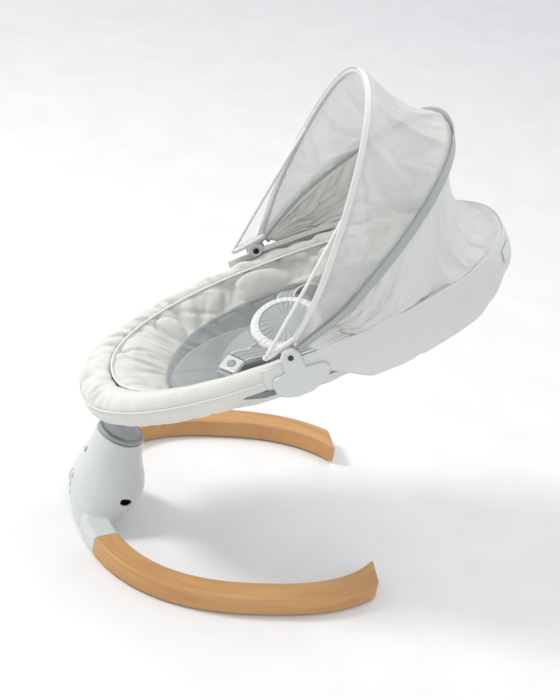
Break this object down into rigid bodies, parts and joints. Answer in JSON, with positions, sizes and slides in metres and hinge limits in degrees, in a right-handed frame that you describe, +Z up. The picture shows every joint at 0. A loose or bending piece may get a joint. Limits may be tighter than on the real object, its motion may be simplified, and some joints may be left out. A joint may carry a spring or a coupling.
{
  "type": "baby swing",
  "caption": "Baby swing with a C-shaped beech base, a swivel tower, an oval padded seat with harness and a two-bow folding canopy.",
  "frame": {"origin": "on the floor under the middle of the tower, at the underside of the middle rubber pad", "axes": "+Z up, +X from the tower towards the open ends of the base and the head end of the seat, +Y towards the left side of the seat"},
  "size_m": [0.6737, 0.5696, 0.8483],
  "materials": {
    "white_plastic": "cool white moulded plastic, satin gloss",
    "grey_plastic": "mid grey moulded plastic",
    "dark_plastic": "black gloss plastic",
    "beech": "clear lacquered beech, fine lengthwise grain",
    "steel": "bright steel",
    "grey_enamel": "blue-grey painted tube",
    "rubber": "matt rubber",
    "copper": "enamelled copper winding",
    "bronze": "sintered bronze",
    "board_green": "green circuit board",
    "white_cloth": "plain white polyester cloth",
    "white_padding": "quilted satin-like padding cloth",
    "grey_velour": "short-pile grey velour",
    "grey_mesh": "pale grey spacer mesh",
    "grey_webbing": "grey padded webbing",
    "white_gauze": "thin translucent white gauze"
  },
  "bodies": {
    "base": {"base_housing": "white_plastic", "control_panel": "grey_plastic", "ir_window": "dark_plastic", "power_inlet": "dark_plastic", "base_cover": "grey_plastic", "cover_screw_1": "steel", "cover_screw_2": "steel", "cover_screw_3": "steel", "arm_left": "beech", "arm_right": "beech", "arm_bolt_left": "steel", "arm_bolt_right": "steel", "foot_pad_middle": "rubber", "foot_pad_mid_left": "rubber", "foot_pad_mid_right": "rubber", "foot_pad_end_left": "rubber", "foot_pad_end_right": "rubber", "lower_bearing": "bronze", "upper_bearing": "bronze", "drive_plate": "steel", "drive_coil": "copper", "circuit_board": "board_green"},
    "power_key": {"power_button": "white_plastic"},
    "speed_key": {"speed_button": "white_plastic"},
    "timer_key": {"timer_button": "white_plastic"},
    "swing": {"swing_shaft": "steel", "magnet_carrier": "grey_plastic", "drive_magnet": "steel", "swivel_collar": "grey_plastic", "seat_bracket": "grey_plastic", "tube_clamp": "grey_plastic", "frame_tube_front": "grey_enamel", "frame_tube_rear": "grey_enamel", "hub_block_left": "grey_plastic", "hub_block_right": "grey_plastic", "hub_cover_left": "white_plastic", "hub_cover_right": "white_plastic", "canopy_pin_left": "dark_plastic", "canopy_pin_right": "dark_plastic", "rim_pad": "white_padding", "inner_ring": "white_padding", "seat_shell": "white_cloth", "seat_liner": "grey_velour", "seat_pad": "grey_velour", "belly_pad": "grey_mesh", "waist_strap_left": "grey_webbing", "waist_strap_right": "grey_webbing", "anchor_strap_right": "grey_webbing", "crotch_strap": "grey_webbing", "harness_buckle": "white_plastic"},
    "buckle_key": {"buckle_button": "grey_plastic"},
    "canopy_rear": {"rear_bow": "steel", "rear_bow_disc_left": "white_plastic", "rear_bow_disc_right": "white_plastic", "canopy_skirt": "white_cloth"},
    "canopy_front": {"front_bow": "steel", "front_bow_disc_left": "white_plastic", "front_bow_disc_right": "white_plastic", "canopy_cloth": "white_gauze"}
  },
  "joints": [
    {"name": "swing_turn", "type": "hinge", "parent": "base", "child": "swing", "pos_m": [0, 0, 0], "axis": [0.225, 0, 0.9744], "range_deg": [-12, 12]},
    {"name": "canopy_rear_fold", "type": "hinge", "parent": "swing", "child": "canopy_rear", "pos_m": [0.254, 0, 0.441], "axis": [0, 1, 0], "range_deg": [0, 18], "deforming": ["canopy_skirt"]},
    {"name": "canopy_front_fold", "type": "hinge", "parent": "canopy_rear", "child": "canopy_front", "pos_m": [0.254, 0, 0.441], "axis": [0, 1, 0], "range_deg": [0, 16], "deforming": ["canopy_cloth"]},
    {"name": "power_press", "type": "slide", "parent": "base", "child": "power_key", "axis": [0.9986, 0, -0.0523], "range_m": [0, 0.001], "stiffness_N_per_m": 300},
    {"name": "speed_press", "type": "slide", "parent": "base", "child": "speed_key", "axis": [0.9986, 0, -0.0523], "range_m": [0, 0.001], "stiffness_N_per_m": 300},
    {"name": "timer_press", "type": "slide", "parent": "base", "child": "timer_key", "axis": [0.9986, 0, -0.0523], "range_m": [0, 0.001], "stiffness_N_per_m": 300},
    {"name": "buckle_press", "type": "slide", "parent": "swing", "child": "buckle_key", "axis": [0.3509, 0.2506, -0.9023], "range_m": [0, 0.001], "stiffness_N_per_m": 300}
  ]
}
